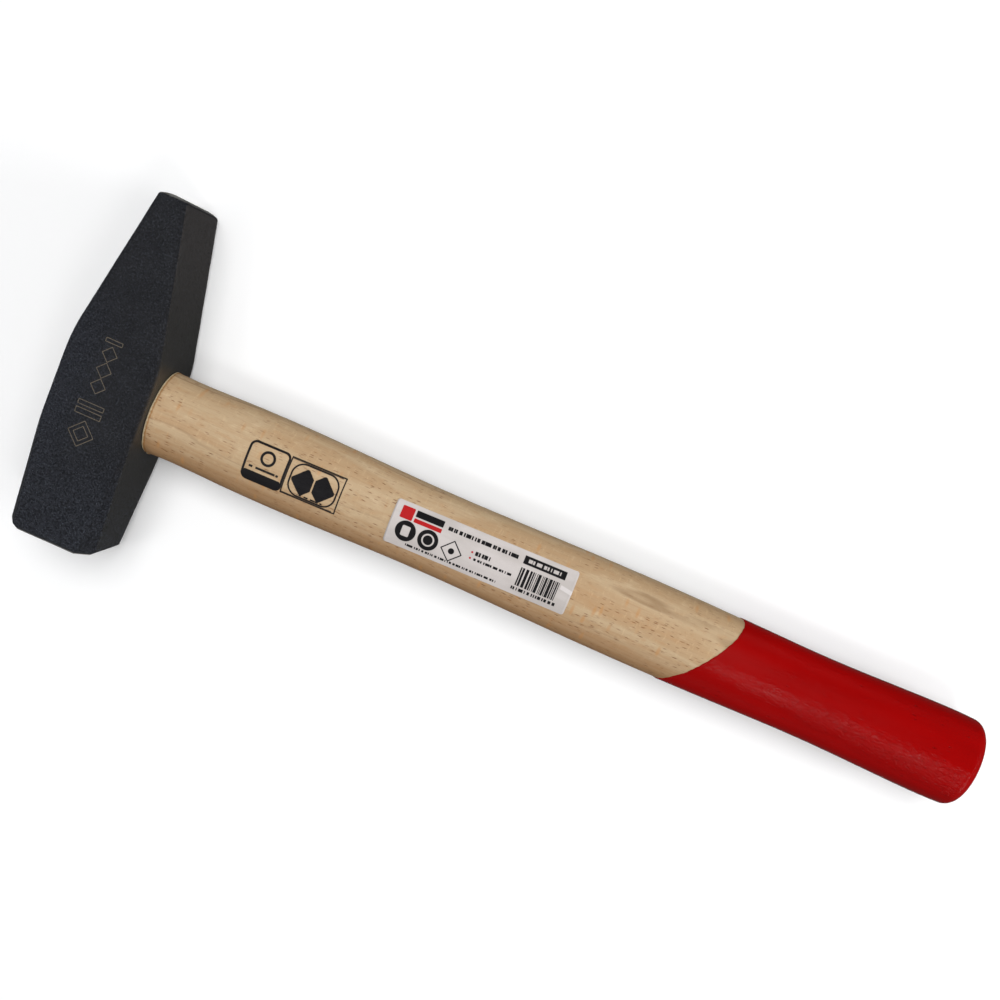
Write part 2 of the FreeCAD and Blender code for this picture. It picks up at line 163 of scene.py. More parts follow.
class Net:
    """One material's nodes, added and linked by short calls. A value is a number or a socket."""

    def __init__(self, name):
        self.material = bpy.data.materials.new(name)
        self.material.use_nodes = True
        self.nodes = self.material.node_tree.nodes
        self.links = self.material.node_tree.links
        self.shader = self.nodes["Principled BSDF"]

    def plug(self, value, socket):
        if isinstance(value, bpy.types.NodeSocket):
            self.links.new(value, socket)
        else:
            socket.default_value = value

    def math(self, operation, *values, clamp=False):
        node = self.nodes.new("ShaderNodeMath")
        node.operation = operation
        node.use_clamp = clamp
        for value, socket in zip(values, node.inputs):
            self.plug(value, socket)
        return node.outputs[0]

    def times(self, first, second):
        return self.math("MULTIPLY", first, second)

    def vector(self, operation, *values):
        node = self.nodes.new("ShaderNodeVectorMath")
        node.operation = operation
        for value, socket in zip(values, node.inputs):
            self.plug(value, socket)
        return node.outputs[1] if operation == "LENGTH" else node.outputs[0]

    def point(self):
        """The place on the object, in millimetres."""
        place = self.nodes.new("ShaderNodeTexCoord").outputs["Object"]
        return self.stretched(place, 1.0 / MM)

    def split(self, vector):
        return self.named("ShaderNodeSeparateXYZ", {0: vector}).outputs

    def join(self, *parts):
        return self.named("ShaderNodeCombineXYZ", dict(enumerate(parts))).outputs[0]

    def named(self, kind, values):
        node = self.nodes.new(kind)
        for key, value in values.items():
            self.plug(value, node.inputs[key])
        return node

    def stretched(self, point, scale):
        """The point times one scale, or times a scale for each axis."""
        each = scale if isinstance(scale, tuple) else (scale, scale, scale)
        return self.vector("MULTIPLY", point, each)

    def noise(self, point, scale, detail=3.0, rough=0.5, distortion=0.0):
        node = self.named("ShaderNodeTexNoise", {
            "Vector": self.stretched(point, scale),
            "Scale": 1.0,
            "Detail": detail,
            "Roughness": rough,
            "Distortion": distortion,
        })
        return node.outputs[0]

    def line_noise(self, value, detail=0.0):
        """Smooth noise along one value."""
        node = self.nodes.new("ShaderNodeTexNoise")
        node.noise_dimensions = "1D"
        self.plug(value, node.inputs["W"])
        node.inputs["Scale"].default_value = 1.0
        node.inputs["Detail"].default_value = detail
        return node.outputs[0]

    def chance(self, value):
        """A new random number for every whole value."""
        node = self.nodes.new("ShaderNodeTexWhiteNoise")
        node.noise_dimensions = "1D"
        self.plug(self.math("FLOOR", value), node.inputs["W"])
        return node.outputs[0]

    def cells(self, point, scale):
        """Distance to the nearest cell's centre, and that cell's random number."""
        node = self.named("ShaderNodeTexVoronoi", {
            "Vector": self.stretched(point, scale),
            "Scale": 1.0,
        })
        return node.outputs["Distance"], self.split(node.outputs["Color"])[0]

    def step(self, value, low, high, start=0.0, end=1.0):
        """A smooth change from start at low to end at high."""
        node = self.nodes.new("ShaderNodeMapRange")
        node.interpolation_type = "SMOOTHSTEP"
        for number, socket in zip((value, low, high, start, end), node.inputs):
            self.plug(number, socket)
        return node.outputs[0]

    def blend(self, factor, first, second, kind="MIX"):
        """Two colours mixed. Inputs 0, 6 and 7 are the Mix node's factor and its two colours."""
        node = self.nodes.new("ShaderNodeMix")
        node.data_type = "RGBA"
        node.blend_type = kind
        for value, socket in zip((factor, first, second), (0, 6, 7)):
            self.plug(value, node.inputs[socket])
        return node.outputs[2]

    def bump(self, height, depth):
        """Relief of the given depth in millimetres."""
        values = {"Height": height, "Distance": depth * MM, "Strength": 1.0}
        return self.named("ShaderNodeBump", values).outputs[0]

    def finish(self, **values):
        """Sets the shader's sockets and gives the material."""
        for key, value in values.items():
            self.plug(value, self.shader.inputs[key.replace("_", " ")])
        return self.material


def colour(red, green, blue):
    """A colour given as it looks on a screen, 0 to 255, turned into light."""
    def light(part):
        part /= 255.0
        return part / 12.92 if part <= 0.04045 else ((part + 0.055) / 1.055) ** 2.4
    return (light(red), light(green), light(blue), 1.0)


# Printed and engraved marks ------------------------------------------------------------------

def mark_group():
    """A node group that gives 1 inside a rounded box, or on its outline when Line is above 0."""
    group = bpy.data.node_groups.new("rounded_mark", "ShaderNodeTree")
    names = ("U", "V", "Across", "Up", "Half Length", "Half Height", "Radius", "Line", "Soft")
    for name in names:
        group.interface.new_socket(name=name, in_out="INPUT", socket_type="NodeSocketFloat")
    group.interface.new_socket(name="Mark", in_out="OUTPUT", socket_type="NodeSocketFloat")
    given = group.nodes.new("NodeGroupInput").outputs
    result = group.nodes.new("NodeGroupOutput")

    def do(operation, *values):
        node = group.nodes.new("ShaderNodeMath")
        node.operation = operation
        for value, socket in zip(values, node.inputs):
            if isinstance(value, bpy.types.NodeSocket):
                group.links.new(value, socket)
            else:
                socket.default_value = value
        return node.outputs[0]

    def beyond(place, centre, half):
        away = do("ABSOLUTE", do("SUBTRACT", given[place], given[centre]))
        return do("SUBTRACT", away, do("SUBTRACT", given[half], given["Radius"]))

    side = beyond("U", "Across", "Half Length")
    end = beyond("V", "Up", "Half Height")
    side_out = do("MAXIMUM", side, 0.0)
    end_out = do("MAXIMUM", end, 0.0)
    outside = do("SQRT", do("ADD", do("MULTIPLY", side_out, side_out),
                            do("MULTIPLY", end_out, end_out)))
    inside = do("MINIMUM", do("MAXIMUM", side, end), 0.0)
    away = do("SUBTRACT", do("ADD", outside, inside), given["Radius"])
    half_line = do("MULTIPLY", given["Line"], 0.5)
    ring = do("SUBTRACT", do("ABSOLUTE", do("ADD", away, half_line)), half_line)
    hollow = do("GREATER_THAN", given["Line"], 0.0)
    chosen = do("ADD", away, do("MULTIPLY", hollow, do("SUBTRACT", ring, away)))
    soft = do("DIVIDE", chosen, given["Soft"])
    mark = do("SUBTRACT", 0.5, soft)
    mark.node.use_clamp = True
    group.links.new(mark, result.inputs[0])
    return group


class Marks:
    """Draws plain shapes on one plane of a material, in millimetres along u and v.

    A shape's numbers are its centre, half its length and height, its corners' radius and, for an
    outline, the width of the line.
    """

    def __init__(self, net, group, u, v, soft=0.1):
        self.net = net
        self.group = group
        self.u = u
        self.v = v
        self.soft = soft

    def box(self, across, up, half_length, half_height, radius=0.0, line=0.0, turned=False):
        net = self.net
        u, v = self.u, self.v
        if turned:
            u, v = self.eighth_turn()
            across, up = (across + up) * math.sqrt(0.5), (up - across) * math.sqrt(0.5)
        node = net.nodes.new("ShaderNodeGroup")
        node.node_tree = self.group
        values = (u, v, across, up, half_length, half_height, radius, line, self.soft)
        for value, socket in zip(values, node.inputs):
            net.plug(value, socket)
        return node.outputs[0]

    def eighth_turn(self):
        """The plane turned by 45 degrees, for lozenges."""
        net = self.net
        root = math.sqrt(0.5)
        u = net.times(net.math("ADD", self.u, self.v), root)
        v = net.times(net.math("SUBTRACT", self.v, self.u), root)
        return u, v

    def disc(self, across, up, radius, line=0.0):
        return self.box(across, up, radius, radius, radius, line)

    def dashes(self, start, end, up, half_height, pitch, seed, cut=0.5):
        """A row of plain dashes of uneven length."""
        net = self.net
        row = self.box((start + end) / 2, up, (end - start) / 2, half_height, 0.1)
        run = net.math("MULTIPLY_ADD", self.u, 1.0 / pitch, seed)
        return net.times(row, net.step(net.line_noise(run), cut - 0.03, cut + 0.03))

    def stripes(self, start, end, up, half_height, pitch, seed, gaps=0.46):
        """Upright stripes of uneven width, with this share of the pitches left empty."""
        net = self.net
        field = self.box((start + end) / 2, up, (end - start) / 2, half_height)
        run = net.math("MULTIPLY_ADD", self.u, 1.0 / pitch, seed)
        return net.times(field, net.math("GREATER_THAN", net.chance(run), gaps))

    def join(self, marks):
        """All the marks together."""
        total = marks[0]
        for mark in marks[1:]:
            total = self.net.math("MAXIMUM", total, mark)
        return total

    def cut(self, mark, hole):
        """The mark without the hole."""
        return self.net.math("SUBTRACT", mark, hole, clamp=True)


def plane(net, point, centre, turn):
    """Millimetres along and across a flat mark seen from above."""
    x, y, _ = net.split(point)
    dx = net.math("SUBTRACT", x, centre[0])
    dy = net.math("SUBTRACT", y, centre[1])
    c, s = math.cos(math.radians(turn)), math.sin(math.radians(turn))
    u = net.math("ADD", net.times(dx, c), net.times(dy, s))
    v = net.math("SUBTRACT", net.times(dy, c), net.times(dx, s))
    return u, v


# Materials -----------------------------------------------------------------------------------

def pith_distance(net, y, z):
    """How far a place is from the middle of the tree, which lies outside the handle."""
    return net.vector("LENGTH", net.join(0.0, net.math("SUBTRACT", y, PITH_Y),
                                         net.math("SUBTRACT", z, PITH_Z)))


def beech_grain(net, point, tone=1.0):
    """Beech: pale ground, growth lines, fibres and dark flecks. Gives colour, relief, fibre."""
    x, y, z = net.split(point)
    drift = net.noise(point, (0.012, 0.06, 0.06), detail=2.0)
    ring = net.math("ADD", pith_distance(net, y, z), net.times(drift, 9.0))
    ring = net.math("MULTIPLY_ADD", x, 0.018, ring)
    bands = net.line_noise(net.times(ring, 0.42), detail=2.0)
    phase = net.math("ABSOLUTE", net.math("SINE", net.times(ring, 0.55)))
    patchy = net.noise(point, (0.03, 0.2, 0.2), detail=2.0)
    lines = net.times(net.step(phase, 0.15, 0.02), net.step(patchy, 0.40, 0.54))
    fibre = net.noise(point, (0.10, 2.4, 2.4), detail=5.0, rough=0.62)
    streak = net.noise(point, (0.014, 0.30, 0.30), detail=4.0, rough=0.55)
    mottle = net.noise(point, (0.16, 0.42, 0.42), detail=4.0, rough=0.6)
    ripple = net.noise(point, (1.1, 0.32, 0.32), detail=3.0, rough=0.6)

    ground = net.blend(net.step(bands, 0.35, 0.68), colour(185, 160, 127), colour(177, 148, 113))
    ground = net.blend(net.step(streak, 0.48, 0.75, 0.0, 0.34), ground, colour(172, 132, 90))
    ground = net.blend(net.step(mottle, 0.54, 0.76, 0.0, 0.40), ground, colour(206, 184, 152))
    ground = net.blend(net.step(mottle, 0.46, 0.30, 0.0, 0.35), ground, colour(176, 136, 94))
    ground = net.blend(net.step(ripple, 0.55, 0.72, 0.0, 0.28), ground, colour(208, 180, 142))
    # Painted shade: darker and warmer toward the -Y side, partly the wood's own warmer tone and
    # partly painted shade.
    low_side_tone_and_shade = net.step(y, -3.0, -14.0, 0.0, 0.66)
    ground = net.blend(low_side_tone_and_shade, ground, colour(150, 107, 66))
    lines = net.times(lines, net.step(y, -4.0, 8.0, 0.25, 0.62))
    ground = net.blend(lines, ground, colour(134, 104, 72))
    ground = net.blend(net.step(fibre, 0.46, 0.72, 0.0, 0.24), ground, colour(148, 117, 82))

    sway = net.join(0.0, net.noise(point, (0.08, 0.2, 0.2)), net.noise(point, (0.07, 0.25, 0.15)))
    wander = net.vector("ADD", point, net.vector("MULTIPLY", sway, (0.0, 2.0, 2.0)))
    dense = net.step(net.noise(point, (0.03, 0.13, 0.13), detail=2.0), 0.38, 0.62)
    near, luck = net.cells(wander, (0.30, 1.8, 1.8))
    small = net.times(net.step(near, 0.36, 0.12), net.step(luck, 0.40, 0.66))
    small = net.times(small, net.math("MULTIPLY_ADD", dense, 0.62, 0.20))
    near, luck = net.cells(wander, (0.14, 1.0, 1.0))
    long = net.times(net.step(near, 0.22, 0.05), net.step(luck, 0.54, 0.68))
    low_part = net.step(y, 6.0, -7.0, 0.40, 0.95)
    flecks = net.math("MAXIMUM", small, net.times(long, low_part))
    ground = net.blend(flecks, ground, colour(122, 74, 36))
    near, luck = net.cells(point, (0.42, 0.15, 0.15))
    bars = net.times(net.step(near, 0.42, 0.12), net.step(luck, 0.80, 0.90))
    ground = net.blend(net.times(bars, 0.48), ground, colour(184, 130, 74))

    height = net.math("SUBTRACT", net.times(fibre, 0.6), net.times(flecks, 0.9))
    height = net.math("MULTIPLY_ADD", mottle, 0.35, height)
    if tone != 1.0:
        ground = net.blend(1.0, ground, (tone, tone * 0.94, tone * 0.86, 1.0), "MULTIPLY")
    return ground, height, fibre


def end_grain(net, point, ground, height, pale, dark):
    """The sawn end of the tenon or of the wooden wedge: rings, saw marks and open pores."""
    x, y, z = net.split(point)
    rings = net.line_noise(net.times(pith_distance(net, y, z), 0.8), detail=1.0)
    pores, _ = net.cells(point, (0.6, 3.2, 3.2))
    saw = net.noise(point, (0.5, 0.5, 4.0), detail=2.0)
    sawn = net.blend(net.step(rings, 0.4, 0.65), pale, dark)
    sawn = net.blend(net.step(pores, 0.26, 0.12, 0.0, 0.7), sawn, colour(96, 64, 38))
    sawn = net.blend(net.step(saw, 0.5, 0.75, 0.0, 0.3), sawn, colour(120, 84, 52))
    at_end = net.step(x, TENON_END_X + 0.5, TENON_END_X + 0.1)
    sawn_height = net.math("ADD", saw, net.step(pores, 0.12, 0.28))
    height = net.math("ADD", height, net.times(at_end, sawn_height))
    return net.blend(at_end, ground, sawn), height


def stamp(net, group, point):
    """Two inked frames with plain shapes in them, on the handle's upper side."""
    blur = net.noise(point, 2.6, detail=2.0)
    shake = net.times(net.math("SUBTRACT", blur, 0.5), 0.16)
    u, v = plane(net, point, STAMP_AT, STAMP_TURN)
    u = net.math("ADD", u, net.math("ADD", shake, STAMP_START))
    v = net.math("ADD", v, shake)
    draw = Marks(net, group, u, v, soft=0.16)
    left = [
        draw.box(6.75, 0.0, 7.7, 7.3, 2.4, line=0.85),
        draw.disc(6.9, 2.5, 2.8, line=0.95),
        draw.box(6.75, -5.2, 7.0, 1.65, 0.8),
        draw.dashes(1.2, 12.3, -2.0, 0.42, 1.7, 3.7, 0.40),
    ]
    body = draw.join([
        draw.box(21.6, -0.3, 3.7, 3.7, 1.0, turned=True),
        draw.box(28.2, -0.3, 3.7, 3.7, 1.0, turned=True),
    ])
    body = draw.cut(body, draw.box(24.9, -0.3, 0.28, 2.6, 0.2))
    right = [
        draw.box(24.85, 0.0, 10.45, 6.9, 0.2, line=0.50),
        draw.box(25.0, 0.0, 9.0, 6.2, 4.6, line=0.62),
        draw.box(24.4, 6.3, 9.6, 0.14),
        draw.box(24.4, -6.3, 9.6, 0.14),
        draw.dashes(20.6, 30.2, -5.2, 0.30, 1.3, 9.1, 0.42),
        body,
    ]
    ink = draw.join(left + right)
    upper = net.step(net.split(point)[2], AXIS_Z, AXIS_Z + 2.0)
    worn = net.step(net.noise(point, (0.9, 2.2, 2.2), detail=4.0, rough=0.7), 0.20, 0.36, 0.86, 1.0)
    return net.times(net.times(ink, upper), worn)


def beech(group):
    """The handle's wood, with a pale ragged rim, darker patches close to the shoulder, and the
    stamp.
    """
    net = Net("beech_wood")
    point = net.point()
    x = net.split(point)[0]
    ground, height, fibre = beech_grain(net, point)
    ground, height = end_grain(net, point, ground, height,
                               colour(166, 131, 92), colour(136, 100, 64))
    rag = net.times(net.math("SUBTRACT", net.noise(point, 1.4), 0.5), 0.8)
    edge_x = net.math("ADD", x, rag)
    outside = net.step(x, SHOULDER_X - 0.3, SHOULDER_X - 0.1)
    rim = net.times(outside, net.step(edge_x, SHOULDER_X + 1.0, SHOULDER_X + 0.5))
    ground = net.blend(net.times(rim, 0.90), ground, colour(216, 197, 160))
    amber = net.times(net.step(edge_x, SHOULDER_X + 0.7, SHOULDER_X + 1.0),
                      net.step(edge_x, SHOULDER_X + 1.6, SHOULDER_X + 1.2))
    ground = net.blend(net.times(amber, 0.68), ground, colour(146, 94, 38))
    # Darker in patches close to the shoulder, more so toward it.
    shoulder_blotches = net.noise(point, 0.8, detail=3.0)
    shoulder_darkening = net.times(net.step(x, SHOULDER_X + 4.0, SHOULDER_X), net.step(shoulder_blotches, 0.5, 0.8, 0.0, 0.5))
    ground = net.blend(shoulder_darkening, ground, colour(100, 74, 48))
    ink = stamp(net, group, point)
    ground = net.blend(ink, ground, colour(14, 12, 15))
    rough = net.math("MULTIPLY_ADD", fibre, 0.22, 0.40)
    rough = net.math("MULTIPLY_ADD", ink, -0.06, rough)
    return net.finish(Base_Color=ground, Roughness=rough, Normal=net.bump(height, 0.16),
                      Coat_Weight=0.06, Coat_Roughness=0.35, Specular_IOR_Level=0.35)


def wedge_wood():
    """The wooden wedge: duller beech than the handle, with a paler sawn end."""
    net = Net("wedge_wood")
    point = net.point()
    ground, height, fibre = beech_grain(net, point, tone=0.80)
    ground, height = end_grain(net, point, ground, height,
                               colour(214, 190, 150), colour(190, 160, 118))
    rough = net.math("MULTIPLY_ADD", fibre, 0.25, 0.50)
    return net.finish(Base_Color=ground, Roughness=rough, Normal=net.bump(height, 0.15))


def bare_steel(net, point):
    """Ground steel: fine scratches and a little tarnish. Gives colour, roughness and relief."""
    scratch = net.noise(point, (7.0, 0.5, 0.35), detail=3.0, rough=0.6)
    blotch = net.noise(point, 0.22, detail=4.0)
    metal = net.blend(net.step(blotch, 0.4, 0.7), colour(158, 157, 154), colour(124, 120, 114))
    metal = net.blend(net.step(scratch, 0.5, 0.72, 0.0, 0.35), metal, colour(104, 101, 98))
    rough = net.math("MULTIPLY_ADD", scratch, 0.28, 0.24)
    return metal, rough, scratch


def wedge_steel():
    """The steel wedge: bare steel with spots of rust."""
    net = Net("wedge_steel")
    point = net.point()
    metal, rough, scratch = bare_steel(net, point)
    rust = net.noise(point, 0.9, detail=5.0, rough=0.65)
    metal = net.blend(net.step(rust, 0.56, 0.72, 0.0, 0.55), metal, colour(104, 66, 42))
    metallic = net.step(rust, 0.74, 0.56, 0.35, 1.0)
    return net.finish(Base_Color=metal, Metallic=metallic, Roughness=rough,
                      Normal=net.bump(scratch, 0.04))


def engraving(net, group, point):
    """A row of plain outlined shapes pressed into the upper cheek."""
    x, y, z = net.split(point)
    line = 0.24
    draw = Marks(net, group, y, x, soft=0.12)
    large = [
        draw.box(-15.6, -0.8, 3.5, 3.5, 0.3, line=line, turned=True),
        draw.box(-15.6, -0.8, 2.1, 2.1, 0.2, line=line, turned=True),
        draw.box(-8.0, -0.8, 1.1, 4.9, 0.3, line=line),
        draw.box(-5.0, -0.8, 0.9, 4.9, 0.3, line=line),
    ]
    small = [draw.box(along, -0.9, 2.1, 2.1, 0.2, line=line, turned=True)
             for along in (2.2, 8.1, 14.0)]
    small.append(draw.box(18.6, -0.9, 0.8, 3.2, 0.3, line=line))
    marks = draw.join(large + small)
    return net.times(marks, net.step(z, UPPER_CHEEK_Z - 1.5, UPPER_CHEEK_Z - 0.5))


def black_paint(net, point, skin, coarse, flank):
    """The head's paint: blue-black, paler where it is coarse as painted sheen, paler and warmer on
    the flank by the handle as painted light, with painted light and shade on the grain.
    """
    y = net.split(point)[1]
    swell = net.noise(point, 0.10, detail=3.0)
    paint = net.blend(net.step(swell, 0.35, 0.65), colour(28, 29, 33), colour(33, 34, 38))
    # Painted sheen: paler and bluer where the skin is coarse, mostly toward the striking face.
    paint = net.blend(net.times(coarse, 0.70), paint, colour(60, 63, 72))
    # Painted light: the flank facing +X is paler, and paler and warmer still toward the peen.
    paint = net.blend(net.times(flank, 0.85), paint, colour(50, 49, 46))
    peen_flank_light = net.times(net.times(net.step(y, 18.0, 66.0), flank), 0.85)
    paint = net.blend(peen_flank_light, paint, colour(62, 59, 58))
    # Painted highlights on the forged skin's high spots and painted shade in its hollows, stronger
    # where it is coarse.
    grain_highlight = net.step(skin, 0.52, 0.66, 0.0, net.math("MULTIPLY_ADD", coarse, 0.55, 0.32))
    paint = net.blend(grain_highlight, paint, colour(74, 78, 86))
    paint = net.blend(net.step(skin, 0.49, 0.36, 0.0, 0.70), paint, colour(15, 16, 19))
    near, luck = net.cells(point, 1.5)
    glint = net.times(net.step(near, 0.28, 0.10), net.step(luck, 0.72, 0.84))
    glint = net.times(net.times(glint, coarse), 0.8)
    return net.blend(glint, paint, colour(124, 132, 146))


def black_steel(group):
    """Forged steel under thin black paint, bare on the striking face and the peen's edge.

    The forged skin is coarser toward the striking face and toward the free side of the head.
    """
    net = Net("black_forged_steel")
    point = net.point()
    x, y, _ = net.split(point)
    skin = net.noise(point, 1.55, detail=3.0, rough=0.55)
    grit = net.noise(point, 3.0, detail=3.0, rough=0.65)
    lumps = net.noise(point, 1.35, detail=2.0, rough=0.5)
    toward_face = net.step(y, -12.0, -50.0)
    toward_free = net.times(net.step(x, 2.0, -15.0), net.step(y, 42.0, 5.0))
    coarse = net.math("MAXIMUM", toward_face, toward_free)
    lumpy = net.times(net.math("SUBTRACT", lumps, 0.5), toward_face)
    skin = net.math("MULTIPLY_ADD", lumpy, 0.6, skin)

    shape = net.nodes.new("ShaderNodeNewGeometry").outputs
    flank = net.step(net.split(shape["Normal"])[0], 0.82, 0.93)
    paint = black_paint(net, point, skin, coarse, flank)
    marks = engraving(net, group, point)
    paint = net.blend(net.times(marks, 0.80), paint, colour(142, 130, 112))

    rag = net.times(net.math("SUBTRACT", skin, 0.5), 0.6)
    bare_peen = net.step(net.math("ADD", y, rag), BARE_PEEN_Y, BARE_PEEN_Y + 0.4)
    bare = net.math("MAXIMUM", bare_peen, net.step(y, BARE_FACE_Y, BARE_FACE_Y - 0.3))
    covered = net.math("SUBTRACT", 1.0, bare)
    metal, metal_rough, scratch = bare_steel(net, point)
    base = net.blend(bare, paint, metal)
    rough = net.math("MULTIPLY_ADD", skin, 0.26, 0.24)
    rough = net.math("ADD", rough, net.step(shape["Pointiness"], 0.505, 0.545, 0.0, 0.35))
    rough = net.math("ADD", net.times(rough, covered), net.times(metal_rough, bare))
    depth = net.math("MULTIPLY_ADD", coarse, 2.1, 0.9)
    depth = net.times(depth, net.math("MULTIPLY_ADD", flank, -0.75, 1.0))
    painted = net.times(net.math("MULTIPLY_ADD", grit, 0.38, skin), depth)
    height = net.times(painted, covered)
    height = net.math("MULTIPLY_ADD", net.times(scratch, bare), 0.06, height)
    height = net.math("MULTIPLY_ADD", marks, -0.25, height)
    return net.finish(Base_Color=base, Metallic=net.times(bare, 0.6), Roughness=rough,
                      Normal=net.bump(height, 1.0))


def crinkled(net, point, patchy):
    """Where the lacquer is crinkled: in a slanting band along the upper side, and in a few patches.

    The band starts near the dip's edge, and it widens and drifts toward -Y on its way to the butt.
    """
    x, y, z = net.split(point)
    along = net.math("SUBTRACT", x, 235.0)
    off = net.math("ADD", net.math("MULTIPLY_ADD", along, 0.030, y), 2.0)
    off = net.math("ADD", off, net.times(net.math("SUBTRACT", patchy, 0.5), 6.0))
    wide = net.math("MULTIPLY_ADD", along, 0.030, 2.6)
    band = net.step(net.math("SUBTRACT", net.math("ABSOLUTE", off), wide), 1.8, -1.4)
    band = net.times(band, net.step(x, 232.0, 300.0, 0.40, 1.0))
    band = net.times(band, net.step(z, AXIS_Z, AXIS_Z + 3.0))
    crinkle = net.math("MAXIMUM", band, net.step(patchy, 0.54, 0.70, 0.0, 0.25))
    return net.times(crinkle, net.step(x, BUTT_X - 1.0, BUTT_X - 6.0, 0.05, 1.0))


def red_lacquer():
    """Dipped red lacquer: smooth, but crinkled where the wood was rough, with a few small dents."""
    net = Net("red_lacquer")
    point = net.point()
    x = net.split(point)[0]
    fibre = net.noise(point, (0.10, 0.9, 0.9), detail=3.0, rough=0.5)
    pits = net.noise(point, (0.40, 0.85, 0.85), detail=3.0, rough=0.58, distortion=1.0)
    cloud = net.noise(point, (0.03, 0.12, 0.12), detail=3.0)
    patchy = net.noise(point, (0.10, 0.26, 0.26), detail=3.0)
    near, luck = net.cells(point, (0.20, 0.9, 0.9))
    dents = net.times(net.step(near, 0.20, 0.07), net.step(luck, 0.80, 0.88))
    crinkle = crinkled(net, point, patchy)

    paint = net.blend(net.step(cloud, 0.3, 0.7), colour(147, 0, 0), colour(139, 0, 0))
    paint = net.blend(net.step(fibre, 0.5, 0.75, 0.0, 0.18), paint, colour(132, 1, 2))
    # Painted shade: the dents and the crinkle's low spots are darker red.
    paint = net.blend(net.times(dents, 0.35), paint, colour(100, 2, 3))
    low = net.times(net.step(pits, 0.46, 0.34), crinkle)
    paint = net.blend(net.times(low, 0.35), paint, colour(112, 2, 3))
    dull = net.step(x, DIP_X, 290.0, 0.19, 0.13)
    rough = net.math("MULTIPLY_ADD", pits, 0.10, dull)
    height = net.times(pits, net.math("MULTIPLY_ADD", crinkle, 1.15, 0.06))
    height = net.math("MULTIPLY_ADD", fibre, 0.10, height)
    height = net.math("MULTIPLY_ADD", dents, -0.5, height)
    return net.finish(Base_Color=paint, Roughness=rough, Normal=net.bump(height, 0.42),
                      Specular_IOR_Level=0.15)


def label_paper(group):
    """A pale label printed with plain bars, discs and stripes, set out from its head-side end."""
    net = Net("label_paper")
    point = net.point()
    u, v = plane(net, point, LABEL_AT, LABEL_TURN)
    u = net.math("ADD", u, LABEL_LENGTH / 2)
    tooth = net.noise(point, 4.0, detail=3.0)
    fade = net.noise(point, (0.05, 0.15, 0.15), detail=3.0)
    paper = net.blend(net.step(fade, 0.35, 0.65), colour(198, 191, 188), colour(184, 177, 173))
    paper = net.blend(net.step(tooth, 0.4, 0.8, 0.0, 0.25), paper, colour(172, 165, 160))
    draw = Marks(net, group, u, v, soft=0.10)
    dark = [
        draw.box(13.1, 5.45, 5.2, 1.15, 0.2),
        draw.cut(draw.disc(6.5, -1.75, 3.75), draw.box(6.5, -1.75, 1.5, 1.9, 0.5)),
        draw.cut(draw.disc(15.0, -1.75, 3.75), draw.disc(15.0, -1.75, 2.3, line=0.55)),
        draw.box(24.0, -2.2, 2.9, 2.9, 0.3, line=0.42, turned=True),
        draw.disc(24.0, -2.2, 1.1),
        draw.dashes(20.2, 47.0, 4.95, 0.68, 0.85, 5.3, 0.42),
        draw.dashes(32.2, 37.8, 0.45, 0.75, 0.9, 2.2, 0.36),
        draw.dashes(32.2, 46.6, -1.75, 0.45, 0.75, 7.9, 0.44),
        draw.cut(draw.box(56.7, 5.1, 7.9, 1.45, 0.1),
                 draw.dashes(50.5, 63.0, 5.1, 0.6, 0.9, 1.4, 0.46)),
        draw.stripes(48.6, 64.5, -1.15, 3.4, 0.26, 11.0),
        draw.dashes(48.0, 64.8, -5.75, 0.6, 0.8, 4.4, 0.44),
        draw.dashes(8.0, 42.4, -6.3, 0.42, 0.7, 6.6, 0.46),
    ]
    red = [
        draw.box(4.9, 4.45, 2.3, 2.2, 0.4),
        draw.box(13.1, 3.0, 5.2, 0.75, 0.2),
        draw.disc(31.0, 0.45, 0.38),
        draw.disc(31.0, -1.75, 0.38),
    ]
    ink = draw.join(dark)
    printed = net.blend(draw.join(red), paper, colour(172, 6, 10))
    printed = net.blend(ink, printed, colour(16, 14, 16))
    slant = Marks(net, group, u, net.math("MULTIPLY_ADD", u, 0.16, v), soft=0.2)
    shine = slant.box(66.8, 11.3, 2.7, 0.75, 0.2)
    printed = net.blend(net.times(shine, 0.55), printed, colour(222, 216, 216))
    rough = net.math("MULTIPLY_ADD", tooth, 0.18, 0.36)
    rough = net.math("MULTIPLY_ADD", ink, -0.08, rough)
    return net.finish(Base_Color=printed, Roughness=rough, Normal=net.bump(tooth, 0.02),
                      Specular_IOR_Level=0.3)


def floor_material():
    """Pale matt paper under the object, running into the backdrop's even tone farther out."""
    net = Net("studio_floor")
    point = net.point()
    cloud = net.noise(point, 0.004, detail=2.0)
    paint = net.blend(cloud, (0.95, 0.95, 0.95, 1.0), (0.98, 0.98, 0.98, 1.0))
    x, y, _ = net.split(point)
    away = net.vector("LENGTH", net.join(x, y, 0.0))
    base = net.blend(net.step(away, 900.0, 2400.0), paint, (0.0, 0.0, 0.0, 1.0))
    glow = net.step(away, 350.0, 1900.0)
    return net.finish(Base_Color=base, Roughness=0.9, Emission_Color=(0.88, 0.88, 0.88, 1.0),
                      Emission_Strength=glow, Specular_IOR_Level=0.1)


# Shapes --------------------------------------------------------------------------------------

def as_piece(name, mesh, material):
    """A new object of this mesh, with one material."""
    piece = bpy.data.objects.new(name, mesh)
    bpy.context.scene.collection.objects.link(piece)
    piece.data.materials.clear()
    piece.data.materials.append(material)
    return piece


def mesh_from(name, work):
    """Turns the work mesh into a mesh that is smooth except over its sharp edges, and frees it."""
    bmesh.ops.recalc_face_normals(work, faces=work.faces)
    for face in work.faces:
        face.smooth = True
    for edge in work.edges:
        if len(edge.link_faces) == 2 and edge.calc_face_angle() > SHARP:
            edge.smooth = False
    mesh = bpy.data.meshes.new(name)
    work.to_mesh(mesh)
    work.free()
    return mesh


